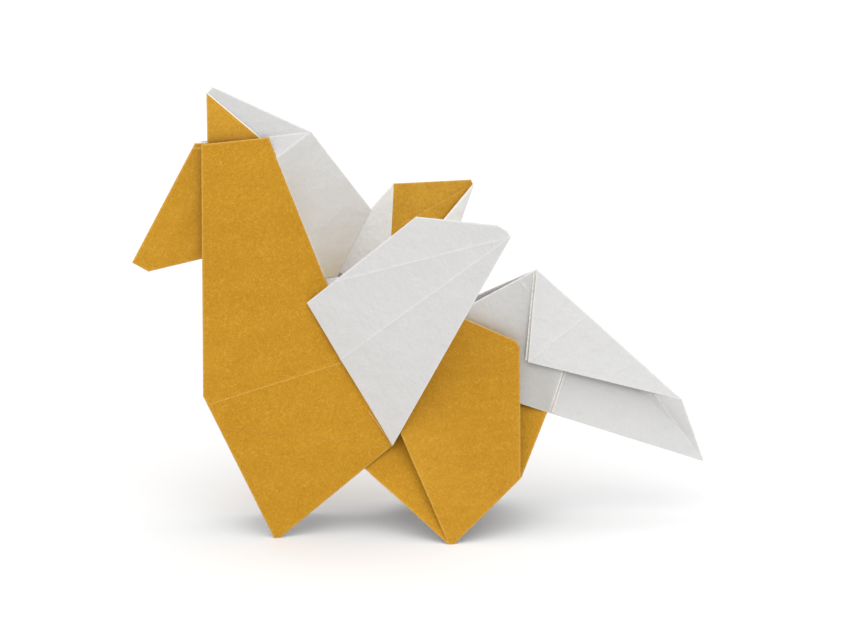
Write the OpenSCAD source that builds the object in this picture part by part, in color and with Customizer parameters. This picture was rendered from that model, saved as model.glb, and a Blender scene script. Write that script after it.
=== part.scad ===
// Origami pegasus folded from one square sheet, ochre on one side and white on the other.
// The animal looks along -X, +Z is up and the mid-plane is Y = 0. Its feet stand on Z = 0.
// Each flat region of the sheet is a thin wall, and neighbouring regions share their fold line.

/* [Paper] */
// Thickness of the folded paper
paper_t = 0.3; // [0.2:0.05:0.5]
// Angle by which a turned-in layer springs away from the layer that covers it
layer_spring = 4; // [2:0.5:7]

/* [Neck and forelegs] */
// Distance of the straight front edge ahead of the origin
front_x = 55; // [52:0.5:58]
// Height of the neck's front top corner
neck_h = 99.5; // [96:0.5:103]
// Width of the neck along its top edge
neck_w = 16.5; // [14:0.5:19]
// Rise of the neck's top edge towards the mane
neck_rise = 1.5; // [0.5:0.25:3]
// Half of the opening between the two sides at the neck's top
neck_gap = 2.2; // [1.8:0.1:3]
// Outward lean of the fore sides
fore_lean = 5; // [3:0.5:7]
// Angle of the fold at the back of the neck, from upright
neck_taper = 21; // [18:0.5:24]
// Height where the front edge turns back to the foreleg
chest_h = 35.5; // [30:0.5:40]
// Height of the elbow corner behind the foreleg
elbow_h = 23; // [20:0.5:27]
// Distance of the forefoot ahead of the origin
forefoot_x = 38; // [35:0.5:41]
// Width of the blunted foot tips
foot_w = 1.2; // [0.8:0.1:2]
// Width of the layer turned in behind the front edge
lining_w = 13; // [10:0.5:16]

/* [Head] */
// Distance of the brow ahead of the neck's front edge
brow_reach = 1.6; // [1:0.2:3]
// Length of the head from brow to muzzle
head_len = 34; // [28:0.5:40]
// Angle of the forehead, from upright
head_tilt = 28.5; // [24:0.5:34]
// Width of the blunt muzzle
muzzle_w = 4.5; // [3:0.5:6]
// Upward slope of the jaw towards the neck
jaw_slope = 14; // [10:1:18]
// Length of the jaw as far as the neck's turned-in layer
jaw_len = 26; // [23:0.5:29]

/* [Ears and mane] */
// Distance of the mane's top corner ahead of the origin
mane_x = 28; // [25:0.5:31]
// Height of the mane's top corner
mane_h = 102; // [99:0.5:105]
// Height of the tip of the ears
ear_h = 113.5; // [108:0.5:120]
// Distance from the front edge back to the tip of the ears
ear_tip_in = 3; // [2:0.25:4.5]
// Distance from the front edge back to the fold of the ears
ear_fold_in = 1.5; // [0.5:0.25:2]
// Width of the coloured part of an ear at its foot
ear_w = 13.5; // [11:0.5:15]
// Outward lean of the ears
ear_lean = 4.5; // [3:0.5:6]
// Depth to which the ears reach down between the neck's sides
ear_seat = 4; // [2:0.5:6]
// Distance of the crest's lower end ahead of the origin
crest_x = 13; // [10:0.5:15]
// Height of the crest's lower end
crest_h = 82; // [79:0.5:86]
// Drop from the neck's top to the first mane crease
mane_drop = 5; // [3:0.5:8]
// Distance of the withers ahead of the origin
withers_x = 22; // [20.5:0.5:23]
// Height of the withers
withers_h = 66; // [62:0.5:70]

/* [Wings] */
// Distance of the wing's front corner ahead of the origin
wing_root_x = 29.5; // [27:0.5:32]
// Height of the wing's front corner
wing_root_h = 60; // [57:0.5:63]
// Distance of the wing's top corner ahead of the origin
wing_top_x = 3.5; // [1:0.5:6]
// Height of the wing's top corner
wing_top_h = 84.5; // [80:0.5:90]
// Distance of the wing tip behind the origin
wing_tip_x = 18.5; // [15:0.5:24]
// Height of the wing tip
wing_tip_h = 81; // [76:0.5:86]
// Distance of the wing tip from the mid-plane
wing_span = 33; // [26:0.5:40]
// Width of the folded tip of the wing
wing_tip_w = 1.2; // [0.8:0.1:2]
// Clearance between the wing and the side of the neck
wing_clear = 1.4; // [1.2:0.1:2]

/* [Rump and hind legs] */
// Distance of the top of the rump behind the origin
rump_x = 29; // [27:0.5:31]
// Height of the top of the rump
rump_h = 66; // [62:0.5:70]
// Length of the rump's ridge towards the saddle
ridge_len = 32; // [29:0.5:35]
// Fall of the ridge towards the saddle
ridge_fall = 25.5; // [23:0.5:28]
// Half of the opening between the two sides at the saddle
saddle_gap = 5.4; // [4.5:0.1:6.5]
// Distance of the rump's lower corner behind the origin
dock_x = 32; // [30:0.5:34]
// Height of the rump's lower corner
dock_h = 29.5; // [27:0.5:32]
// Half width across the rump's lower corners
dock_out = 4.5; // [3.5:0.1:5.5]
// Height of the rump's lower edge at the saddle
flank_h = 41.5; // [39:0.5:44]
// Distance of the hind foot behind the origin
hindfoot_x = 5.5; // [3:0.5:8]
// Distance of the hind foot from the mid-plane
hindfoot_out = 20; // [17:0.5:23]
// Inward lean of the hind legs towards their top
hind_lean = 15.5; // [13:0.5:17]
// Distance of the hind leg's straight back edge behind the origin
thigh_x = 24; // [22:0.5:26]
// Height of the hind leg's back top corner
thigh_h = 48.5; // [46:0.5:51]
// Slope of the hind leg's top edge
thigh_slope = 24; // [20:1:28]
// Length of the hind leg's top edge
thigh_len = 16; // [14:0.5:18]
// Height of the corner where the back edge turns to the foot
hock_h = 16.5; // [13:0.5:20]
// Angle of the hind leg's front edge, from upright
shin_tilt = 23.5; // [20:0.5:27]
// Length of the hind leg's front edge
shin_len = 39; // [34:0.5:44]
// Distance of the inner leg's front corner ahead of the origin
belly_x = 21; // [19:0.5:23]
// Height of the inner leg's front corner
belly_h = 23; // [21:0.5:25]
// Distance of the inner leg's front corner from the mid-plane
belly_out = 8; // [7:0.5:9]

/* [Tail] */
// Distance of the end of the tail's upper edge behind the origin
tail_top_x = 67; // [62:0.5:74]
// Height of the end of the tail's upper edge
tail_top_h = 31; // [27:0.5:35]
// Distance of the upper flap's lower corner behind the origin
flap_x = 26.5; // [25.5:0.5:28]
// Height of the upper flap's lower corner
flap_h = 43; // [41:0.5:45]
// Distance of the upper flap's lower corner from the mid-plane
flap_out = 4.6; // [4.2:0.1:5.5]
// Distance of the tail's lowest corner behind the origin
tail_tip_x = 73; // [68:0.5:80]
// Height of the tail's lowest corner
tail_tip_h = 14.5; // [10:0.5:18]
// Distance from the rump's lower corner along to the tail's second layer
tuck_x = 3.5; // [2.5:0.25:4.5]
// Rise from the rump's lower corner to the tail's second layer
tuck_rise = 10; // [8:0.5:11]
// Length of the pocket under the end of the upper edge
pocket_len = 10.5; // [8:0.5:13]
// Height of the pocket's hidden corner above the end of the upper edge
pocket_rise = 3.5; // [3:0.25:4.5]

/* [Hidden] */
ochre = [0.80, 0.58, 0.18];
white = [0.93, 0.93, 0.92];

// Distance by which a region runs past its outline, so that it joins its neighbour across a fold
fold_lap = paper_t * 0.6;
// Clearance that keeps the two halves apart where they aren't joined
half_gap = paper_t * 1.3;

function unit(v) = v / norm(v);

// Point at x and z on the plane through three points
function on_plane(p, q, r, x, z) =
    let (n = cross(q - p, r - p))
    [x, p.y - (n.x * (x - p.x) + n.z * (z - p.z)) / n.y, z];

// Point p turned about the line from a to b
function turned(p, a, b, angle) =
    let (k = unit(b - a), v = p - a)
    a + v * cos(angle) + cross(k, v) * sin(angle) + k * (k * v) * (1 - cos(angle));

// Point a share of the way from a to b
function between(a, b, share) = a + (b - a) * share;

// Fore sides: every point lies on one plane that leans outward towards the floor
function fore(x, z) = [x, -(neck_gap + (neck_h - z) * tan(fore_lean)), z];
function back_fold_x(z) = neck_w - front_x + (neck_h + neck_rise - z) * tan(neck_taper);
neck_front = fore(-front_x, neck_h);
neck_back = fore(neck_w - front_x, neck_h + neck_rise);
chest = fore(-front_x, chest_h);
elbow = fore(back_fold_x(elbow_h), elbow_h);
forefoot_l = fore(-forefoot_x - foot_w / 2, 0);
forefoot_r = fore(-forefoot_x + foot_w / 2, 0);
function lining(x, z) = fore(x, z) + [0, (x + front_x) * tan(layer_spring), 0];

// Head
brow = [-front_x - brow_reach, 0, neck_h];
nose = brow - head_len * [sin(head_tilt), 0, cos(head_tilt)];
chin_x = nose.x + muzzle_w * cos(head_tilt);
chin_z = nose.z - muzzle_w * sin(head_tilt);
jaw_x = chin_x + jaw_len * cos(jaw_slope);
jaw_z = chin_z + jaw_len * sin(jaw_slope);
jaw = lining(jaw_x, jaw_z);
chin = on_plane(brow, nose, jaw, chin_x, chin_z);
nape = on_plane(brow, nose, jaw, jaw_x, neck_h - ear_seat / 2);

// Ears
mane = [-mane_x, 0, mane_h];
ear_tip = [ear_tip_in - front_x, 0, ear_h];
ridge_dir = unit(mane - ear_tip);
function ear(x, z) =
    [x, -(ridge_dir.z * (x - mane.x) - ridge_dir.x * (z - mane.z)) * tan(ear_lean), z];
ear_foot_z = neck_h - ear_seat;
ear_top = ear(ear_fold_in - front_x, ear_h - ear_tip_in / 2);
ear_foot = ear(ear_fold_in - front_x, ear_foot_z);
ear_back = ear(neck_back.x, neck_back.z);
ear_back_foot = ear(neck_back.x, ear_foot_z);
function ear_front(p) = turned(p, ear_top, ear_foot, layer_spring / 2);
ear_edge = ear_front(ear(ear_fold_in - front_x + ear_w, neck_h + neck_rise / 2));
ear_edge_foot = ear_front(ear(ear_fold_in - front_x + ear_w, ear_foot_z));

// Back of the neck
mane_fold = fore(back_fold_x(neck_back.z - mane_drop), neck_back.z - mane_drop);
throat = fore(back_fold_x(withers_h), withers_h);
crest = on_plane(mane, mane_fold, throat, -crest_x, crest_h);
withers = on_plane(mane, mane_fold, throat, -withers_x, withers_h);

// Rump
rump = [rump_x, 0, rump_h];
saddle = rump + [-ridge_len * cos(ridge_fall), -saddle_gap, -ridge_len * sin(ridge_fall)];
dock = [dock_x, -dock_out, dock_h];
flank = on_plane(rump, saddle, dock, saddle.x, flank_h);
shoulder = on_plane(withers, elbow, saddle, throat.x, throat.z);
tuck = on_plane(rump, saddle, dock, dock_x + tuck_x, dock_h + tuck_rise);

// Hind leg
function hind(x, z) = [x, -(hindfoot_out - z * tan(hind_lean)), z];
hindfoot_l = hind(hindfoot_x - foot_w / 2, 0);
hindfoot_r = hind(hindfoot_x + foot_w / 2, 0);
hock = hind(thigh_x, hock_h);
thigh_back = hind(thigh_x, thigh_h);
thigh_front = hind(thigh_x - thigh_len * cos(thigh_slope), thigh_h + thigh_len * sin(thigh_slope));
stifle = hind(hindfoot_x - shin_len * sin(shin_tilt), shin_len * cos(shin_tilt));
thigh_seat = on_plane(rump, saddle, dock, (thigh_front.x + thigh_back.x) / 2, flank_h);

// Inner leg: its two sides meet in a ridge under the belly
belly = [-belly_x, -belly_out, belly_h];
function inner(x, z) = on_plane(hindfoot_l, belly, dock, x, z);
function inner_ridge(x) =
    let (n = cross(belly - hindfoot_l, dock - hindfoot_l))
    [x, 0, hindfoot_l.z + (hindfoot_l.y * n.y - n.x * (x - hindfoot_l.x)) / n.z];
belly_ridge = inner_ridge(-belly_x / 2);
dock_ridge = inner_ridge(dock_x - tuck_x);
inner_hock = inner(thigh_x, hock_h);
inner_foot = inner(hindfoot_x + foot_w / 2, 0);

// Tail
// Share of the flap's edges that the layer turned in behind its lower edge leaves free
turn_share = 0.15;
tail_top = [tail_top_x, 0, tail_top_h];
flap = [flap_x, -flap_out, flap_h];
tail_tip = [tail_tip_x, -half_gap, tail_tip_h];
tuck_in = tuck + [0, half_gap, 0];
function under(x, z) = on_plane(tuck_in, dock, tail_tip, x, z);
pocket = under(tail_top_x - pocket_len, tail_top_h + pocket_rise);
tuck_top = under(dock_x, flap_h);
flap_turn = turned(between(rump, flap, turn_share), flap, tail_top, -layer_spring / 2);
flap_turn_end = between(flap, tail_top, 1 - turn_share);

// Wing
wing_root = fore(-wing_root_x, wing_root_h) - [0, wing_clear, 0];
wing_foot = elbow - [0, wing_clear, 0];
wing_tip_low = [wing_tip_x, -wing_span, wing_tip_h - wing_tip_w / 2];
wing_tip_top = on_plane(wing_root, wing_foot, wing_tip_low,
    wing_tip_x - wing_tip_w / 2, wing_tip_h + wing_tip_w / 2);
wing_top = on_plane(wing_root, wing_foot, wing_tip_low, -wing_top_x, wing_top_h);
wing_hinge = between(throat, elbow, 0.1);
// The corner sector turned in along the trailing edge is an eighth of a half turn
wing_sector = 22.5;
function wing_dir(p) = unit(p - wing_tip_low);
wing_normal = unit(cross(wing_foot - wing_tip_low, wing_root - wing_tip_low));
sector_end = wing_tip_low
    + (cos(wing_sector) * wing_dir(wing_foot) + sin(wing_sector) * cross(wing_normal, wing_dir(wing_foot)))
    * norm(wing_foot - wing_tip_low) * cos(wing_sector);
wing_turn = turned(sector_end, wing_tip_low, wing_foot, layer_spring);
wing_flap = turned(between(wing_root, wing_foot, 0.92), wing_root, wing_top, layer_spring);

// One flat region of the sheet, a thin wall whose middle plane passes through the points
module facet(points) {
    o = points[0];
    u = unit(points[1] - o);
    n = unit(cross(u, points[2] - o));
    v = cross(n, u);
    flat = [for (p = points) [(p - o) * u, (p - o) * v]];
    centre = [for (p = flat) 1] * flat / len(flat);
    outline = [for (p = flat) p + unit(p - centre) * fold_lap];
    multmatrix([
        [u.x, v.x, n.x, o.x],
        [u.y, v.y, n.y, o.y],
        [u.z, v.z, n.z, o.z],
        [0, 0, 0, 1]
    ])
        translate([0, 0, -paper_t / 2])
            linear_extrude(paper_t) polygon(outline);
}

module neck_and_foreleg() color(ochre) {
    facet([neck_front, chest, forefoot_l, forefoot_r, elbow, neck_back]);
    facet([neck_front, chest, lining(lining_w - front_x, chest_h + lining_w),
        lining(lining_w - front_x, neck_h)]);
}

module head() color(ochre) {
    facet([brow, nose, chin, jaw, nape]);
}

module ear_outside() color(ochre) {
    facet([ear_top, ear_foot, ear_edge_foot, ear_edge]);
}

module ear_inside() color(white) {
    facet([ear_tip, mane, ear_back, ear_back_foot, ear_foot, ear_top]);
}

module back_of_neck() color(white) {
    facet([mane, ear_back, mane_fold]);
    facet([mane, mane_fold, throat, withers, crest]);
}

module side() color(white) {
    facet([withers, shoulder, elbow, saddle]);
    facet([saddle, elbow, flank]);
}

module rump_side() color(white) {
    facet([rump, saddle, flank, dock, tuck]);
}

module hind_leg() color(ochre) {
    facet([hindfoot_l, hindfoot_r, hock, thigh_back, thigh_front, stifle]);
    facet([thigh_front, thigh_back, thigh_seat]);
}

module inner_leg() color(ochre) {
    facet([hindfoot_l, belly, belly_ridge, dock_ridge, dock, inner_hock, inner_foot]);
}

module tail() color(white) {
    facet([rump, tail_top, flap]);
    facet([flap, flap_turn_end, flap_turn]);
    facet([dock, tail_tip, pocket, tuck_top]);
    facet([pocket, tail_tip, tail_top]);
}

module wing() color(white) {
    facet([wing_foot, wing_tip_low, wing_tip_top, wing_top, wing_root]);
    facet([wing_root, wing_top, wing_flap]);
    facet([wing_tip_low, wing_foot, wing_turn]);
    facet([wing_root, wing_hinge, wing_foot]);
    facet([wing_foot, wing_hinge, elbow]);
}

module half() {
    neck_and_foreleg();
    head();
    ear_outside();
    ear_inside();
    back_of_neck();
    side();
    rump_side();
    hind_leg();
    inner_leg();
    tail();
    wing();
}

module folded_sheet() {
    difference() {
        union() {
            half();
            mirror([0, 1, 0]) half();
        }
        // The foot tips are pressed flat where they stand
        translate([-tail_tip_x * 2, -tail_tip_x * 2, -neck_h])
            cube([tail_tip_x * 4, tail_tip_x * 4, neck_h]);
    }
}

folded_sheet();
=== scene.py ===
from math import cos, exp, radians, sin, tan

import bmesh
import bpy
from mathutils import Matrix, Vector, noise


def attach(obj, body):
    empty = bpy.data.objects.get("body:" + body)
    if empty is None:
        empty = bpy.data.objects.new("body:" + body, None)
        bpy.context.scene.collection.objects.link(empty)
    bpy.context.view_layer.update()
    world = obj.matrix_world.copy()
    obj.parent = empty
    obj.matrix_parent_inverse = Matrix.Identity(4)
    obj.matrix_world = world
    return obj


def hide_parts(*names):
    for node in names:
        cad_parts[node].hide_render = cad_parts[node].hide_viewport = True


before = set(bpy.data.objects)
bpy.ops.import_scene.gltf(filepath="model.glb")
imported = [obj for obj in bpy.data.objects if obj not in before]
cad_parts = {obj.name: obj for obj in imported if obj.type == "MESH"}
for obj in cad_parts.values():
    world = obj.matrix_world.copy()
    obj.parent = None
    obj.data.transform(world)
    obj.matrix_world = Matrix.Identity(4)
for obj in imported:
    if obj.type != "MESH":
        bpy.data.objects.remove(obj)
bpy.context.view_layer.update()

# Origami pegasus: one sheet, ochre on one side and white on the other.
# Every flat region of the sheet becomes a thin two-faced panel with soft folds and old creases, its edges and
# creases lightened partly by wear and partly as a painted highlight, and painted light and shade along given
# lines.
# The points are worked out in millimetres from nearly the same sizes as the CAD part.
# They are scaled to metres at the end.

MM = 0.001

# Paper
PAPER_T = 0.28
LAYER_SPRING = 4
FOLD_BULGE = 0.1
CUT_BULGE = 0.22
EDGE_ROUND = 0.2
CREASE_W = 0.13
FIBRE_LEN = 0.9
FIBRE_W = 0.22
GRID_STEP = 1.6
SWELL = 0.16
SWELL_SIZE = 22
SWELL_REACH = 5
RIM_SHARE = 0.55

# Neck and forelegs
FRONT_X = 55
NECK_H = 99.5
NECK_W = 16.5
NECK_RISE = 1.5
NECK_GAP = 2.2
FORE_LEAN = 5
NECK_TAPER = 21
CHEST_H = 36.7
CHEST_OUT = 0.8
ELBOW_H = 23
FOREFOOT_X = 38
FOOT_W = 1.2
LINING_W = 13

# Head
BROW_REACH = 1.6
HEAD_LEN = 34
HEAD_TILT = 28.5
MUZZLE_W = 4.5
JAW_SLOPE = 14
JAW_LEN = 26

# Ears and mane
MANE_X = 28
MANE_H = 102
EAR_H = 113.5
EAR_TIP_IN = 3
EAR_FOLD_IN = 1.5
EAR_W = 13.5
EAR_LEAN = 4.5
EAR_SEAT = 4
EAR_PROUD = 0.2
CREST_X = 13
CREST_H = 82
MANE_DROP = 5
WITHERS_X = 22
WITHERS_H = 66

# Wings
WING_ROOT_X = 29.5
WING_ROOT_H = 60
WING_TOP_X = 3.5
WING_TOP_H = 84.5
WING_TIP_X = 18.5
WING_TIP_H = 81.9
WING_SPAN = 33
WING_TIP_W = 1.2
WING_CLEAR = 1.4
WING_FOOT_OUT = 0.1
WING_FOOT_RISE = 0.6
WING_FLAP_SHARE = 0.92
WING_HINGE_SHARE = 0.1
WING_SECTOR = 22.5
WING_BEVEL_X = 3.2
WING_BEVEL_H = 2
FAR_WING_SWEEP = 0.036
FAR_WING_RISE = 0.11
FAR_WING_LEVEL = 24

# Rump and hind legs
RUMP_X = 29
RUMP_H = 66
RIDGE_LEN = 32
RIDGE_FALL = 25.5
SADDLE_GAP = 5.4
DOCK_X = 32
DOCK_H = 29.5
DOCK_OUT = 4.5
FLANK_H = 41.5
HINDFOOT_X = 5.5
HINDFOOT_OUT = 20
HIND_LEAN = 15.5
THIGH_X = 24
THIGH_H = 48.5
THIGH_SLOPE = 24
THIGH_LEN = 16
HOCK_H = 16.5
HOCK_IN = 0.7
HOCK_DROP = 1
INNER_HOCK_OUT = 0.1
INNER_HOCK_DROP = 1.5
INNER_DOCK_IN = 0.6
SHIN_TILT = 23.5
SHIN_LEN = 39
BELLY_X = 21
BELLY_H = 23
BELLY_OUT = 8

# Tail
TAIL_TOP_X = 67
TAIL_TOP_H = 31
FLAP_X = 26.5
FLAP_H = 43
FLAP_OUT = 4.6
TAIL_TIP_X = 73
TAIL_TIP_H = 14.5
TUCK_X = 3.5
TUCK_RISE = 10
POCKET_LEN = 8.2
POCKET_RISE = 3.5
TURN_SHARE = 0.15
HALF_GAP = 0.39

# Texture
CLOUD_SIZE = 26
BLOTCH_SIZE = 5
GRAIN_SIZE = 0.5
RUB_SIZE = 0.8
ROUGH_SIZE = 0.3
COCKLE_SHARE = 24
BUMP_STRENGTH = 0.5
BUMP_DEPTH = 0.05

# Floor and surroundings, the floor in metres
FLOOR_HALF = 6.0
FLOOR_TONE = (0.85, 0.85, 0.85)
FLOOR_FADE = 0.995
WORLD_LIGHT = 0.47

# Camera, fitted to the photograph's outline
CAM_AZIMUTH = -5
CAM_ELEVATION = 13
CAM_DISTANCE = 660
CAM_TARGET = Vector((1.99, 0, 54.25))
CAM_LENS = 108.7
SENSOR_W = 36


def sind(angle):
    return sin(radians(angle))


def cosd(angle):
    return cos(radians(angle))


def tand(angle):
    return tan(radians(angle))


def between(a, b, share):
    return a.lerp(b, share)


def on_plane(p, q, r, x, z):
    """Point at x and z on the plane through three points."""
    n = (q - p).cross(r - p)
    return Vector((x, p.y - (n.x * (x - p.x) + n.z * (z - p.z)) / n.y, z))


def turned(p, a, b, angle):
    """Point p turned about the line from a to b."""
    return a + Matrix.Rotation(radians(angle), 3, b - a) @ (p - a)


# Points of the near half

def fore(x, z):
    return Vector((x, -(NECK_GAP + (NECK_H - z) * tand(FORE_LEAN)), z))


def back_fold_x(z):
    return NECK_W - FRONT_X + (NECK_H + NECK_RISE - z) * tand(NECK_TAPER)


def lining(x, z):
    return fore(x, z) + Vector((0, (x + FRONT_X) * tand(LAYER_SPRING), 0))


neck_front = fore(-FRONT_X, NECK_H)
neck_back = fore(NECK_W - FRONT_X, NECK_H + NECK_RISE)
chest = fore(-FRONT_X - CHEST_OUT, CHEST_H)
elbow = fore(back_fold_x(ELBOW_H), ELBOW_H)
forefoot_l = fore(-FOREFOOT_X - FOOT_W / 2, 0)
forefoot_r = fore(-FOREFOOT_X + FOOT_W / 2, 0)

brow = Vector((-FRONT_X - BROW_REACH, 0, NECK_H))
nose = brow - HEAD_LEN * Vector((sind(HEAD_TILT), 0, cosd(HEAD_TILT)))
chin_x = nose.x + MUZZLE_W * cosd(HEAD_TILT)
chin_z = nose.z - MUZZLE_W * sind(HEAD_TILT)
jaw = lining(chin_x + JAW_LEN * cosd(JAW_SLOPE), chin_z + JAW_LEN * sind(JAW_SLOPE))
chin = on_plane(brow, nose, jaw, chin_x, chin_z)
nape = on_plane(brow, nose, jaw, jaw.x, NECK_H + NECK_RISE / 4)

mane = Vector((-MANE_X, 0, MANE_H))
ear_tip = Vector((EAR_TIP_IN - FRONT_X, 0, EAR_H))
ridge_dir = (mane - ear_tip).normalized()


def ear(x, z):
    drop = ridge_dir.z * (x - mane.x) - ridge_dir.x * (z - mane.z)
    return Vector((x, -drop * tand(EAR_LEAN), z))


ear_foot_z = NECK_H - EAR_SEAT
ear_top = ear(EAR_FOLD_IN - FRONT_X, EAR_H - EAR_TIP_IN / 2)
ear_foot = ear(EAR_FOLD_IN - FRONT_X, ear_foot_z)
ear_back = ear(neck_back.x, neck_back.z)
ear_back_foot = ear(neck_back.x, ear_foot_z)


def ear_front(p):
    return turned(p, ear_top, ear_foot, LAYER_SPRING / 2)


ear_edge = ear_front(ear(EAR_FOLD_IN - FRONT_X + EAR_W, NECK_H + NECK_RISE / 2))
ear_edge_foot = ear_front(ear(EAR_FOLD_IN - FRONT_X + EAR_W, ear_foot_z))

mane_fold = fore(back_fold_x(neck_back.z - MANE_DROP), neck_back.z - MANE_DROP)
throat = fore(back_fold_x(WITHERS_H), WITHERS_H)
crest = on_plane(mane, mane_fold, throat, -CREST_X, CREST_H)
withers = on_plane(mane, mane_fold, throat, -WITHERS_X, WITHERS_H)

rump = Vector((RUMP_X, 0, RUMP_H))
saddle = rump + Vector((-RIDGE_LEN * cosd(RIDGE_FALL), -SADDLE_GAP, -RIDGE_LEN * sind(RIDGE_FALL)))
dock = Vector((DOCK_X, -DOCK_OUT, DOCK_H))
flank = on_plane(rump, saddle, dock, saddle.x, FLANK_H)
shoulder = on_plane(withers, elbow, saddle, throat.x, throat.z)
tuck = on_plane(rump, saddle, dock, DOCK_X + TUCK_X, DOCK_H + TUCK_RISE)


def hind(x, z):
    return Vector((x, -(HINDFOOT_OUT - z * tand(HIND_LEAN)), z))


hindfoot_l = hind(HINDFOOT_X - FOOT_W / 2, 0)
hindfoot_r = hind(HINDFOOT_X + FOOT_W / 2, 0)
hock = hind(THIGH_X - HOCK_IN, HOCK_H - HOCK_DROP)
thigh_back = hind(THIGH_X, THIGH_H)
thigh_front = hind(THIGH_X - THIGH_LEN * cosd(THIGH_SLOPE), THIGH_H + THIGH_LEN * sind(THIGH_SLOPE))
stifle = hind(HINDFOOT_X - SHIN_LEN * sind(SHIN_TILT), SHIN_LEN * cosd(SHIN_TILT))
thigh_seat = on_plane(rump, saddle, dock, (thigh_front.x + thigh_back.x) / 2, FLANK_H)

belly = Vector((-BELLY_X, -BELLY_OUT, BELLY_H))


def inner(x, z):
    return on_plane(hindfoot_l, belly, dock, x, z)


def inner_ridge(x):
    n = (belly - hindfoot_l).cross(dock - hindfoot_l)
    return Vector((x, 0, hindfoot_l.z + (hindfoot_l.y * n.y - n.x * (x - hindfoot_l.x)) / n.z))


belly_ridge = inner_ridge(-BELLY_X / 2)
dock_ridge = inner_ridge(DOCK_X - TUCK_X)
inner_hock = inner(THIGH_X + INNER_HOCK_OUT, HOCK_H - INNER_HOCK_DROP)
inner_foot = inner(HINDFOOT_X + FOOT_W / 2, 0)
inner_dock = dock - Vector((INNER_DOCK_IN, 0, 0))

tail_top = Vector((TAIL_TOP_X, 0, TAIL_TOP_H))
flap = Vector((FLAP_X, -FLAP_OUT, FLAP_H))
tail_tip = Vector((TAIL_TIP_X, -HALF_GAP, TAIL_TIP_H))
tuck_in = tuck + Vector((0, HALF_GAP, 0))


def under(x, z):
    return on_plane(tuck_in, dock, tail_tip, x, z)


pocket = under(TAIL_TOP_X - POCKET_LEN, TAIL_TOP_H + POCKET_RISE)
tuck_top = under(DOCK_X, FLAP_H)
flap_turn = turned(between(rump, flap, TURN_SHARE), flap, tail_top, -LAYER_SPRING / 2)
flap_turn_end = between(flap, tail_top, 1 - TURN_SHARE)

wing_root = fore(-WING_ROOT_X, WING_ROOT_H) - Vector((0, WING_CLEAR, 0))
wing_foot = elbow + Vector((WING_FOOT_OUT, -WING_CLEAR, WING_FOOT_RISE))
wing_tip_low = Vector((WING_TIP_X, -WING_SPAN, WING_TIP_H - WING_TIP_W / 2))
wing_tip_top = on_plane(wing_root, wing_foot, wing_tip_low,
                        WING_TIP_X - WING_TIP_W / 2, WING_TIP_H + WING_TIP_W / 2)
wing_bevel = on_plane(wing_root, wing_foot, wing_tip_low,
                      WING_TIP_X - WING_BEVEL_X, WING_TIP_H + WING_BEVEL_H)
wing_top = on_plane(wing_root, wing_foot, wing_tip_low, -WING_TOP_X, WING_TOP_H)
wing_hinge = between(throat, elbow, WING_HINGE_SHARE)
wing_normal = (wing_foot - wing_tip_low).cross(wing_root - wing_tip_low).normalized()
trailing = (wing_foot - wing_tip_low).normalized()
sector_end = wing_tip_low + (wing_foot - wing_tip_low).length * cosd(WING_SECTOR) * (
    cosd(WING_SECTOR) * trailing + sind(WING_SECTOR) * wing_normal.cross(trailing))
wing_turn = turned(sector_end, wing_tip_low, wing_foot, LAYER_SPRING)
wing_flap = turned(between(wing_root, wing_foot, WING_FLAP_SHARE), wing_root, wing_top, LAYER_SPRING / 4)


# Panels

OCHRE, WHITE, LIT_WHITE, CUT = 0, 1, 2, 3
KINDS = ("pale", "warm_shade", "painted_shade")


class Crease:
    """A line pressed into a panel: its ends, the height and spread of the bend, and how much it is lightened,
    partly by wear and partly as a painted highlight.
    """

    def __init__(self, a, b, height=0.2, spread=6, wear_and_highlight=0.5, ridge=0.05, step=0.0):
        self.a, self.b = a, b
        self.height, self.spread = height, spread
        self.wear_and_highlight, self.ridge, self.step = wear_and_highlight, ridge, step


class PaintedLightLine:
    """A line along which light or shade is painted into the surface's colour: its ends, how much, how far it
    reaches, and its kind.

    The kinds are pale, painted light where the surface should look more lit,
    tint, a painted warm shade as of bounce light from the ochre side, in recesses and beside edges,
    and dust, a painted grey shade in recesses, under edges and in gaps.
    """

    def __init__(self, a, b, amount, reach, kind="warm_shade"):
        self.a, self.b, self.amount, self.reach, self.kind = a, b, amount, reach, kind


def far_wing(place):
    """Where a point of the far wing is: that wing is swept forward a little and its tip sits higher."""
    sweep = -FAR_WING_SWEEP * max(0, place.z - ELBOW_H)
    rise = FAR_WING_RISE * max(0, place.y - FAR_WING_LEVEL)
    return place + Vector((sweep, 0, rise))


class Sheet:
    """The growing mesh of the whole folded sheet."""

    def __init__(self):
        self.points = []
        self.faces = []
        self.looks = []
        self.wear_and_highlight = []
        self.painted_lights = {kind: [] for kind in KINDS}

    def point(self, p, wear_and_highlight, painted_light):
        self.points.append(Vector((p.x, p.y, max(p.z, 0))) * MM)
        self.wear_and_highlight.append(wear_and_highlight)
        for kind in KINDS:
            self.painted_lights[kind].append(painted_light[kind])
        return len(self.points) - 1

    def face(self, corners, look, flip):
        self.faces.append(corners[::-1] if flip else corners)
        self.looks.append(look)


def from_segment(p, a, b):
    """Distance of p from the segment, and which side of its line p is on."""
    along = b - a
    share = max(0, min(1, (p - a).dot(along) / along.length_squared))
    side = along.x * (p.y - a.y) - along.y * (p.x - a.x)
    return (p - a - along * share).length, 1 if side > 0 else -1


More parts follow.
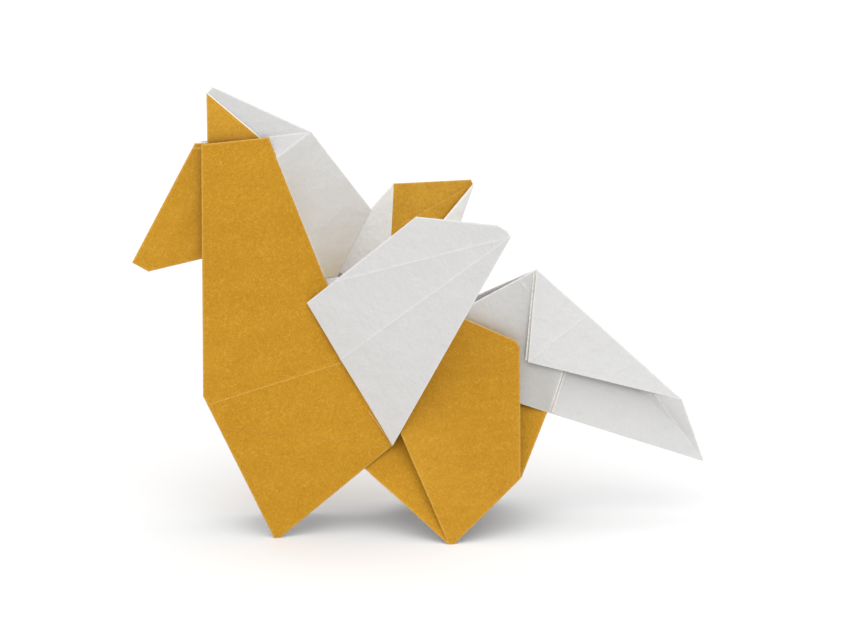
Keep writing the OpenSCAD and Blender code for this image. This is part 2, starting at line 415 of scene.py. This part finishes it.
def cut_grid(flat, lines):
    """The polygon as a flat bmesh, cut into a grid and along each line."""
    bm = bmesh.new()
    bm.faces.new([bm.verts.new((p.x, p.y, 0)) for p in flat])
    low = [min(p[axis] for p in flat) for axis in (0, 1)]
    high = [max(p[axis] for p in flat) for axis in (0, 1)]
    cuts = []
    for axis in (0, 1):
        normal = Vector((1 - axis, axis, 0))
        steps = int((high[axis] - low[axis]) / GRID_STEP)
        cuts += [(normal * (low[axis] + GRID_STEP * (i + 0.5)), normal) for i in range(steps + 1)]
    for a, b in lines:
        along = (b - a).normalized()
        cuts.append((Vector((a.x, a.y, 0)), Vector((-along.y, along.x, 0))))
    for spot, normal in cuts:
        everything = bm.verts[:] + bm.edges[:] + bm.faces[:]
        bmesh.ops.bisect_plane(bm, geom=everything, dist=0.02, plane_co=spot, plane_no=normal)
    return bm


def panel(sheet, points, outside, inside, creases=(), raw=(), worn_and_highlit=0.6, swell=1.0, painted_light_lines=(),
          sides=(1, -1), far=None, rim=None):
    """Adds one flat region on both sides of the mid-plane.

    outside and inside are its looks. raw lists the outline's edges that are the sheet's cut edge.
    tints are the lines along which light and shade are painted into the colour. sides are the near side 1 and
    the far side -1.
    far moves the far side's points.
    rim is the look of the folded edges, if it isn't the outside one.
    """
    origin = points[0]
    across = (points[1] - origin).normalized()
    normal = across.cross(points[2] - origin).normalized()
    if normal.y > 0:
        normal = -normal
    up = normal.cross(across)

    def flatten(corners):
        return [Vector(((p - origin).dot(across), (p - origin).dot(up))) for p in corners]

    flat = flatten(points)
    count = len(flat)
    edges = [(flat[i], flat[(i + 1) % count]) for i in range(count)]
    area = sum(a.x * b.y - b.x * a.y for a, b in edges)
    turn = 1 if area > 0 else -1
    outward = [Vector((b.y - a.y, a.x - b.x)).normalized() * turn for a, b in edges]

    marks = [(*flatten((c.a, c.b)), c) for c in creases]
    painted_lights = [(*flatten((t.a, t.b)), t) for t in painted_light_lines]

    lines = []
    for (a, b), out in zip(edges, outward):
        lines += [(a - out * d, b - out * d) for d in (EDGE_ROUND, 2.5 * EDGE_ROUND)]
    for a, b, c in marks:
        aside = Vector((a.y - b.y, b.x - a.x)).normalized()
        offsets = (-CREASE_W * 2.5, -CREASE_W, 0, CREASE_W, CREASE_W * 2.5)
        lines += [(a + aside * d, b + aside * d) for d in offsets]
    bm = cut_grid(flat, lines)
    bm.verts.index_update()

    rim_edges = [e for e in bm.edges if e.is_boundary]
    rim_points = {v for e in rim_edges for v in e.verts}
    spots = []
    for v in bm.verts:
        p = v.co.xy
        spans = [from_segment(p, a, b)[0] for a, b in edges]
        inset = min(spans)
        lift = 0.0
        # Edges and crease lines are lightened, partly as worn paper and partly as a painted highlight.
        wear_and_highlight = worn_and_highlit * exp(-(inset / EDGE_ROUND) ** 2)
        for a, b, c in marks:
            away, side = from_segment(p, a, b)
            lift += c.height * exp(-away / c.spread) + c.ridge * exp(-(away / (2 * CREASE_W)) ** 2)
            lift += c.step * (0.5 + 0.5 * side) * exp(-away / c.spread)
            wear_and_highlight = max(wear_and_highlight, c.wear_and_highlight * exp(-(away / CREASE_W) ** 2))
        # Painted light and shade of each kind, falling off from its line.
        painted_light = {kind: max([t.amount * exp(-from_segment(p, a, b)[0] / t.reach)
                            for a, b, t in painted_lights if t.kind == kind], default=0) for kind in KINDS}
        push = Vector((0, 0))
        if v in rim_points:
            for i, span in enumerate(spans):
                if span < 0.03:
                    push += outward[i] * (CUT_BULGE if i in raw else FOLD_BULGE)
        spots.append((p.copy(), inset, lift, wear_and_highlight, painted_light, push))

    for mirror in sides:
        fronts, backs, middles = {}, {}, {}
        for v, (p, inset, lift, wear_and_highlight, painted_light, push) in zip(bm.verts, spots):
            place = origin + across * p.x + up * p.y
            place = Vector((place.x, place.y * mirror, place.z))
            if far and mirror < 0:
                place = far(place)
            facing = Vector((normal.x, normal.y * mirror, normal.z))
            soft = 1 - exp(-(inset / SWELL_REACH) ** 2)
            rise = lift + swell * SWELL * soft * noise.noise(place / SWELL_SIZE) * 2
            half = PAPER_T / 2 * (RIM_SHARE if v in rim_points else 1)
            fronts[v.index] = sheet.point(place + facing * (rise + half), wear_and_highlight, painted_light)
            backs[v.index] = sheet.point(place + facing * (rise - half), wear_and_highlight, painted_light)
            if v in rim_points:
                out = across * push.x + up * push.y
                out = Vector((out.x, out.y * mirror, out.z))
                middles[v.index] = sheet.point(place + out + facing * rise, max(wear_and_highlight, worn_and_highlit), painted_light)
        for f in bm.faces:
            loop = [v.index for v in f.verts]
            sheet.face([fronts[i] for i in loop], outside, mirror < 0)
            sheet.face([backs[i] for i in reversed(loop)], inside, mirror < 0)
        for e in rim_edges:
            start, end = (loop_end.index for loop_end in rim_order(e))
            middle = (e.verts[0].co.xy + e.verts[1].co.xy) / 2
            nearest = min(range(count), key=lambda i: from_segment(middle, *edges[i])[0])
            look = CUT if nearest in raw else outside if rim is None else rim
            sheet.face([fronts[end], fronts[start], middles[start], middles[end]], look, mirror < 0)
            sheet.face([middles[end], middles[start], backs[start], backs[end]], look, mirror < 0)
    bm.free()


def rim_order(edge):
    """The edge's two points in the order in which its one face goes through them."""
    loop = edge.link_loops[0]
    return loop.vert, loop.link_loop_next.vert


sheet = Sheet()

# Neck and foreleg, with the layer turned in behind the front edge
panel(sheet, [neck_front, chest, forefoot_l, forefoot_r, elbow, neck_back], OCHRE, WHITE,
      creases=[Crease(between(chest, forefoot_l, 0.06), between(neck_back, elbow, 0.71),
                      height=0.12, spread=5, wear_and_highlight=0.6),
               Crease(between(chest, forefoot_l, 0.22), elbow,
                      height=0.0, spread=3, wear_and_highlight=0.3, ridge=0.0, step=0.15)])
panel(sheet, [neck_front, chest, lining(LINING_W - FRONT_X, CHEST_H + LINING_W),
              lining(LINING_W - FRONT_X, NECK_H)], WHITE, OCHRE, raw=(2,), swell=0.3, rim=OCHRE)

# Head
# Painted shade beside the neck's front edge, and painted light towards the nose.
panel(sheet, [brow, nose, chin, jaw, nape], OCHRE, WHITE, raw=(4,), swell=0.6,
      creases=[Crease(between(brow, nose, 0.04), between(nape, jaw, 0.05),
                      height=0.0, spread=1, wear_and_highlight=1.0)],
      painted_light_lines=[PaintedLightLine(Vector((-FRONT_X, 0, NECK_H)), Vector((-FRONT_X, 0, chin_z)), 0.5, 2.2, "painted_shade"),
             PaintedLightLine(nose, chin, 0.25, 14, "pale")])

# Ears: an ochre corner over the white band
ear_out = Vector((0, -EAR_PROUD, 0))
# Painted shade at the ear's foot under the neck's top edge, and painted light towards the ear's tip.
panel(sheet, [p + ear_out for p in (ear_top, ear_foot, ear_edge_foot, ear_edge)], OCHRE, WHITE,
      raw=(3,), swell=0.2,
      painted_light_lines=[PaintedLightLine(neck_front, neck_back, 1.0, 1.2, "painted_shade"), PaintedLightLine(ear_top, ear_edge, 0.7, 30, "pale")])
# Painted shade over the white band, strongest along its top edge.
panel(sheet, [ear_tip, mane, ear_back, ear_back_foot, ear_foot, ear_top], WHITE, OCHRE, swell=0.3,
      painted_light_lines=[PaintedLightLine(ear_tip, ear_back, 0.22, 60, "painted_shade")])

# Back of the neck
# Painted shade over this small facet, to go on with the crest's.
panel(sheet, [mane, ear_back, mane_fold], WHITE, OCHRE, worn_and_highlit=0.7, swell=0.2,
      painted_light_lines=[PaintedLightLine(ear_back, mane_fold, 0.3, 30, "painted_shade")])
# Painted warm shade along the lower back edge and the bottom, and painted grey shade across the panel.
panel(sheet, [mane, mane_fold, throat, withers, crest], WHITE, OCHRE,
      creases=[Crease(between(mane, crest, 0.02), between(withers, throat, 0.1),
                      height=0.1, spread=9, wear_and_highlight=0.0, ridge=0.0)],
      painted_light_lines=[PaintedLightLine(between(mane_fold, throat, 0.25), throat, 0.5, 7), PaintedLightLine(throat, withers, 1.0, 12),
             PaintedLightLine(mane_fold, withers, 0.25, 30, "painted_shade")], worn_and_highlit=0.25)

# Side and rump
elbow_in = elbow + Vector((0.4, 0.5, 0.3))
panel(sheet, [withers, shoulder, elbow_in, saddle], WHITE, WHITE, swell=0.4)
panel(sheet, [saddle, elbow_in, flank], WHITE, WHITE, swell=0.4)
# Painted warm shade beside the thigh's edges, and painted grey shade along the tail flap's edge, darker
# towards the dock.
panel(sheet, [rump, saddle, flank, dock, tuck], WHITE, WHITE,
      creases=[Crease(on_plane(rump, saddle, dock, 24.9, 63), on_plane(rump, saddle, dock, 27, 60.7),
                      height=0.05, spread=2, wear_and_highlight=0.5),
               Crease(on_plane(rump, saddle, dock, 25.6, 62.9), on_plane(rump, saddle, dock, 26, 61.8),
                      height=0, spread=2, wear_and_highlight=0.35)],
      raw=(3,), painted_light_lines=[PaintedLightLine(thigh_front, thigh_back, 0.8, 2.5), PaintedLightLine(thigh_back, dock, 0.3, 4),
                       PaintedLightLine(between(rump, dock, 0.15), dock, 0.55, 9, "painted_shade")])

# Hind leg, and the deeper layer of the same leg
thigh_low = between(thigh_back, hock, 0.035)
thigh_top = between(thigh_back, thigh_front, 0.07)
# Painted light along the front edge, against the wing's shadow, and a light painted shade over the leg from
# its back edge.
panel(sheet, [hindfoot_l, hindfoot_r, hock, thigh_low, thigh_top, thigh_front, stifle], OCHRE, WHITE,
      creases=[Crease(between(hindfoot_l, stifle, 0.55), stifle,
                      height=-1.4, spread=8, wear_and_highlight=0.0, ridge=0.0)],
      painted_light_lines=[PaintedLightLine(between(hindfoot_l, stifle, 0.4), stifle, 0.35, 8, "pale"),
             PaintedLightLine(thigh_back, hock, 0.12, 60, "painted_shade")])
panel(sheet, [thigh_front, thigh_top, thigh_seat], WHITE, OCHRE, swell=0.2, rim=OCHRE)
# Painted warm shade along the belly.
panel(sheet, [hindfoot_l, belly, belly_ridge, dock_ridge, inner_dock, inner_hock, inner_foot], OCHRE, WHITE,
      creases=[Crease(belly, between(belly, hindfoot_l, 0.35),
                      height=-2.0, spread=8, wear_and_highlight=0.0, ridge=0.0)],
      painted_light_lines=[PaintedLightLine(belly, between(belly, dock, 0.4), 0.6, 6)])

# Tail: the upper flap over the lower section, and the pocket at its end
panel(sheet, [rump, tail_top, flap], WHITE, OCHRE,
      creases=[Crease(flap, between(rump, tail_top, 0.345), height=0.15, spread=6, wear_and_highlight=0.25)])
# Painted shade in the gap between the two plies of the flap's edge.
ply = [rump + Vector((-0.75, -0.45, -0.9)), rump + Vector((0.1, -0.05, -1.3)),
       flap + Vector((0.5, 0.6, 0.4)), flap + Vector((-0.9, 0.4, 0.4))]
panel(sheet, ply, WHITE, WHITE, worn_and_highlit=0.9, swell=0,
      painted_light_lines=[PaintedLightLine(rump, flap, 0.9, 3), PaintedLightLine(rump, flap, 0.7, 3, "painted_shade")])
panel(sheet, [flap, flap_turn_end, flap_turn], OCHRE, WHITE, swell=0.2)
pair = Vector((0.9, 0, 0.2))
# Painted shade along the line between the layers, and under the flap's lower edge.
panel(sheet, [dock, tail_tip, pocket, tuck_top], WHITE, WHITE, swell=0.4, worn_and_highlit=0.35,
      creases=[Crease(dock + pair, tuck_in + pair, height=0.0, spread=1, wear_and_highlight=0.8)],
      painted_light_lines=[PaintedLightLine(tuck_in + pair / 2, dock + pair / 2, 0.8, 0.3), PaintedLightLine(flap, tail_top, 0.7, 5.5, "painted_shade")])
# Painted shade inside the pocket.
panel(sheet, [pocket, tail_tip, tail_top], WHITE, WHITE, raw=(1,), worn_and_highlit=0.2, swell=0.2,
      painted_light_lines=[PaintedLightLine(pocket, between(pocket, tail_tip, 0.6), 0.45, 3, "painted_shade")])

# Wing, with the layers turned in along its front and trailing edges
wing_creases = [Crease(wing_tip_low, between(wing_root, wing_top, 0.26), height=0.3, spread=7, wear_and_highlight=0.45),
                Crease(wing_tip_low, between(wing_root, wing_foot, 0.39), height=0.3, spread=7, wear_and_highlight=0.5)]
panel(sheet, [wing_foot, wing_tip_low, wing_tip_top, wing_bevel, wing_top, wing_root], WHITE, OCHRE,
      creases=wing_creases, worn_and_highlit=0.45, sides=(1,))
# Painted light over the far wing, and painted shade near its tip on the trailing edge.
panel(sheet, [wing_foot, wing_tip_low, wing_tip_top, wing_top, wing_root], WHITE, OCHRE,
      creases=wing_creases, worn_and_highlit=0.45, sides=(-1,), far=far_wing,
      painted_light_lines=[PaintedLightLine(wing_root, wing_top, 1.0, 90, "pale"),
             PaintedLightLine(wing_tip_low, between(wing_tip_low, wing_turn, 0.7), 0.3, 1.5, "painted_shade")])
# The flaps' insides and rims use the lighter copy of the white side: painted light.
panel(sheet, [wing_root, wing_top, wing_flap], OCHRE, LIT_WHITE, raw=(1,), swell=0.2, far=far_wing, rim=LIT_WHITE)
panel(sheet, [wing_tip_low, wing_foot, wing_turn], OCHRE, LIT_WHITE, raw=(2,), swell=0.2, far=far_wing, rim=LIT_WHITE)
panel(sheet, [wing_root, wing_hinge, wing_foot], WHITE, WHITE, swell=0.2, far=far_wing)
panel(sheet, [wing_foot, wing_hinge, elbow], WHITE, WHITE, swell=0.2, far=far_wing)


# Materials

class Nodes:
    """A short way to write a node tree."""

    def __init__(self, name):
        self.material = bpy.data.materials.new(name)
        self.material.use_nodes = True
        self.tree = self.material.node_tree
        self.shader = self.tree.nodes["Principled BSDF"]
        self.spot = self.add("ShaderNodeTexCoord").outputs["Object"]

    def add(self, kind, **settings):
        node = self.tree.nodes.new(kind)
        for name, value in settings.items():
            setattr(node, name, value)
        return node

    def link(self, out, socket):
        self.tree.links.new(out, socket)

    def noise(self, size_mm, detail=2.0, rough=0.5, shift=0.0):
        """Noise whose blotches are about that size."""
        moved = self.add("ShaderNodeVectorMath", operation="ADD")
        self.link(self.spot, moved.inputs[0])
        moved.inputs[1].default_value = (shift, shift * 2, shift * 3)
        node = self.add("ShaderNodeTexNoise")
        self.link(moved.outputs[0], node.inputs["Vector"])
        node.inputs["Scale"].default_value = 1 / (size_mm * MM)
        node.inputs["Detail"].default_value = detail
        node.inputs["Roughness"].default_value = rough
        return node.outputs["Fac"]

    def ramp(self, value, low, high, to_low=0.0, to_high=1.0):
        node = self.add("ShaderNodeMapRange", clamp=True)
        self.link(value, node.inputs["Value"])
        for name, number in (("From Min", low), ("From Max", high), ("To Min", to_low), ("To Max", to_high)):
            node.inputs[name].default_value = number
        return node.outputs["Result"]

    def math(self, operation, a, b):
        node = self.add("ShaderNodeMath", operation=operation)
        for socket, value in zip(node.inputs, (a, b)):
            if isinstance(value, (int, float)):
                socket.default_value = value
            else:
                self.link(value, socket)
        return node.outputs[0]

    def mix(self, share, a, b):
        node = self.add("ShaderNodeMix", data_type="RGBA")
        self.link(share, node.inputs["Factor"])
        for name, value in (("A", a), ("B", b)):
            socket = [s for s in node.inputs if s.name == name and s.type == "RGBA"][0]
            if isinstance(value, tuple):
                socket.default_value = (*value, 1)
            else:
                self.link(value, socket)
        return [s for s in node.outputs if s.type == "RGBA"][0]

    def fibres(self, angle, shift):
        """Short, slightly curved threads that lie at about one angle to the floor."""
        place = self.add("ShaderNodeMapping", vector_type="TEXTURE")
        self.link(self.spot, place.inputs["Vector"])
        place.inputs["Location"].default_value = (shift, shift, shift)
        place.inputs["Rotation"].default_value = (0, radians(angle), 0)
        place.inputs["Scale"].default_value = (FIBRE_LEN * MM, FIBRE_LEN * MM, FIBRE_W * MM)
        node = self.add("ShaderNodeTexNoise")
        self.link(place.outputs["Vector"], node.inputs["Vector"])
        for name, number in (("Scale", 1), ("Detail", 0), ("Distortion", 0.4)):
            node.inputs[name].default_value = number
        return self.ramp(node.outputs["Fac"], 0.63, 0.77)


def paper(name, plain, deep, pale, dark, worn_and_highlit, through, painted_shade_colour, fibre_share, blotch_share):
    """Fibrous uncoated paper.

    through is the colour of the painted warm shade, as of bounce light from the ochre side, and dusty the
    colour of the painted grey shade. pale colours both the light fibres and the painted light, and worn both
    the worn edges and the painted highlights.
    """
    n = Nodes(name)
    clouds = n.ramp(n.noise(CLOUD_SIZE, 3.0, 0.55, 0.05), 0.34, 0.66)
    blotches = n.ramp(n.noise(BLOTCH_SIZE, 5.0, 0.65), 0.33, 0.67)
    grain = n.ramp(n.noise(GRAIN_SIZE, 3.0, 0.7, 0.11), 0.3, 0.7)
    # Painted light: lighter where the pale attribute is set.
    colour = n.mix(n.add("ShaderNodeAttribute", attribute_name="pale").outputs["Fac"], plain, pale)
    colour = n.mix(n.math("MULTIPLY", clouds, blotch_share), colour, deep)
    colour = n.mix(n.math("MULTIPLY", blotches, blotch_share), colour, deep)
    colour = n.mix(n.math("MULTIPLY", grain, blotch_share), colour, deep)
    threads = []
    for i, angle in enumerate((15, 50, 100, 145)):
        threads.append(n.fibres(angle, 0.21 + i * 0.1))
        colour = n.mix(n.math("MULTIPLY", threads[-1], fibre_share), colour, pale)
        shaded = n.fibres(angle + 20, 0.71 + i * 0.1)
        colour = n.mix(n.math("MULTIPLY", shaded, fibre_share), colour, dark)
    # Painted warm shade and painted grey shade, from the attributes of those kinds.
    for kind, other in (("warm_shade", through), ("painted_shade", painted_shade_colour)):
        colour = n.mix(n.add("ShaderNodeAttribute", attribute_name=kind).outputs["Fac"], colour, other)
    # Edges and creases lightened, partly by wear and partly as a painted highlight.
    wear_and_highlight = n.add("ShaderNodeAttribute", attribute_name="wear_and_highlight").outputs["Fac"]
    rubbed_and_highlit = n.math("MULTIPLY", wear_and_highlight, n.ramp(n.noise(RUB_SIZE, 4.0, 0.7, 0.71), 0.35, 0.6, 0.3, 1.0))
    colour = n.mix(rubbed_and_highlit, colour, worn_and_highlit)
    n.link(colour, n.shader.inputs["Base Color"])
    n.link(n.ramp(grain, 0, 1, 0.6, 0.72), n.shader.inputs["Roughness"])
    n.shader.inputs["Specular IOR Level"].default_value = 0.15
    relief = n.math("ADD", n.math("MULTIPLY", threads[0], 0.5), n.math("MULTIPLY", threads[1], 0.4))
    height = n.math("ADD", relief, n.noise(ROUGH_SIZE, 3.0, 0.7, 0.9))
    height = n.math("ADD", height, n.math("MULTIPLY", n.noise(BLOTCH_SIZE, 3.0, 0.55, 0.43), COCKLE_SHARE))
    bump = n.add("ShaderNodeBump")
    bump.inputs["Strength"].default_value = BUMP_STRENGTH
    bump.inputs["Distance"].default_value = BUMP_DEPTH * MM
    n.link(height, bump.inputs["Height"])
    n.link(bump.outputs["Normal"], n.shader.inputs["Normal"])
    return n.material


ochre_look = paper("ochre_side", plain=(0.56, 0.286, 0.017), deep=(0.44, 0.195, 0.007),
                   pale=(0.73, 0.41, 0.05), dark=(0.38, 0.16, 0.004), worn_and_highlit=(0.74, 0.46, 0.13),
                   through=(0.45, 0.195, 0.004), painted_shade_colour=(0.36, 0.17, 0.02),
                   fibre_share=0.3, blotch_share=0.32)
white_look = paper("white_side", plain=(0.675, 0.672, 0.665), deep=(0.59, 0.59, 0.59),
                   pale=(0.76, 0.76, 0.75), dark=(0.52, 0.51, 0.49), worn_and_highlit=(0.90, 0.90, 0.89),
                   through=(0.50, 0.40, 0.26), painted_shade_colour=(0.40, 0.395, 0.385),
                   fibre_share=0.12, blotch_share=0.18)
# A lighter copy of the white side for the wing flaps' insides: painted light.
lit_white_look = paper("white_painted_lit", plain=(0.80, 0.79, 0.765), deep=(0.74, 0.73, 0.70),
                   pale=(0.86, 0.86, 0.84), dark=(0.64, 0.62, 0.57), worn_and_highlit=(0.93, 0.93, 0.92),
                   through=(0.60, 0.52, 0.42), painted_shade_colour=(0.50, 0.49, 0.47),
                   fibre_share=0.12, blotch_share=0.18)
cut_look = paper("cut_edge", plain=(0.92, 0.91, 0.88), deep=(0.84, 0.79, 0.70),
                 pale=(0.93, 0.93, 0.92), dark=(0.72, 0.62, 0.48), worn_and_highlit=(0.93, 0.92, 0.9),
                 through=(0.60, 0.52, 0.42), painted_shade_colour=(0.60, 0.56, 0.50),
                 fibre_share=0.3, blotch_share=0.25)

mesh = bpy.data.meshes.new("paper_sheet")
mesh.from_pydata(sheet.points, [], sheet.faces)
for look in (ochre_look, white_look, lit_white_look, cut_look):
    mesh.materials.append(look)
mesh.polygons.foreach_set("material_index", sheet.looks)
mesh.attributes.new("wear_and_highlight", "FLOAT", "POINT").data.foreach_set("value", sheet.wear_and_highlight)
for kind in KINDS:
    mesh.attributes.new(kind, "FLOAT", "POINT").data.foreach_set("value", sheet.painted_lights[kind])
mesh.polygons.foreach_set("use_smooth", [True] * len(mesh.polygons))
mesh.set_sharp_from_angle(angle=radians(50))
mesh.update()
folded = bpy.data.objects.new("paper_sheet", mesh)
bpy.context.collection.objects.link(folded)
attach(folded, "root")
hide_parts("folded_sheet")


# Floor, light and camera

def flat_look(name, colour, rough):
    n = Nodes(name)
    tone = n.ramp(n.noise(60, 2.0), 0.3, 0.7)
    n.link(n.mix(tone, colour, tuple(c * FLOOR_FADE for c in colour)), n.shader.inputs["Base Color"])
    n.shader.inputs["Roughness"].default_value = rough
    n.shader.inputs["Specular IOR Level"].default_value = 0.0
    return n.material


floor_mesh = bpy.data.meshes.new("floor")
floor_mesh.from_pydata([(-FLOOR_HALF, -FLOOR_HALF, 0), (FLOOR_HALF, -FLOOR_HALF, 0),
                        (FLOOR_HALF, FLOOR_HALF, 0), (-FLOOR_HALF, FLOOR_HALF, 0)], [], [(0, 1, 2, 3)])
floor_mesh.materials.append(flat_look("pale_floor", FLOOR_TONE, 0.9))
floor = bpy.data.objects.new("floor", floor_mesh)
bpy.context.collection.objects.link(floor)

world = bpy.data.worlds.new("studio")
world.use_nodes = True
world.node_tree.nodes["Background"].inputs["Color"].default_value = (1, 1, 1, 1)
world.node_tree.nodes["Background"].inputs["Strength"].default_value = WORLD_LIGHT
bpy.context.scene.world = world


def sun(name, azimuth, elevation, strength, spread):
    """A soft sun that shines from that azimuth round the object, 0 being the camera's -Y side."""
    lamp = bpy.data.lights.new(name, "SUN")
    lamp.energy = strength
    lamp.angle = radians(spread)
    holder = bpy.data.objects.new(name, lamp)
    towards = Vector((sind(azimuth) * cosd(elevation), -cosd(azimuth) * cosd(elevation), sind(elevation)))
    holder.rotation_euler = towards.to_track_quat("Z", "Y").to_euler()
    bpy.context.collection.objects.link(holder)


sun("overhead", -8, 77, 1.75, 80)
sun("key", -12, 38, 0.88, 70)
sun("back", 160, 45, 0.35, 90)

camera_data = bpy.data.cameras.new("camera")
camera_data.lens = CAM_LENS
camera_data.sensor_width = SENSOR_W
camera_data.clip_end = 50
camera = bpy.data.objects.new("camera", camera_data)
towards_camera = Vector((sind(CAM_AZIMUTH) * cosd(CAM_ELEVATION),
                         -cosd(CAM_AZIMUTH) * cosd(CAM_ELEVATION), sind(CAM_ELEVATION)))
camera.location = (CAM_TARGET + towards_camera * CAM_DISTANCE) * MM
camera.rotation_euler = towards_camera.to_track_quat("Z", "Y").to_euler()
bpy.context.collection.objects.link(camera)
bpy.context.scene.camera = camera
bpy.context.scene.view_settings.view_transform = "Standard"
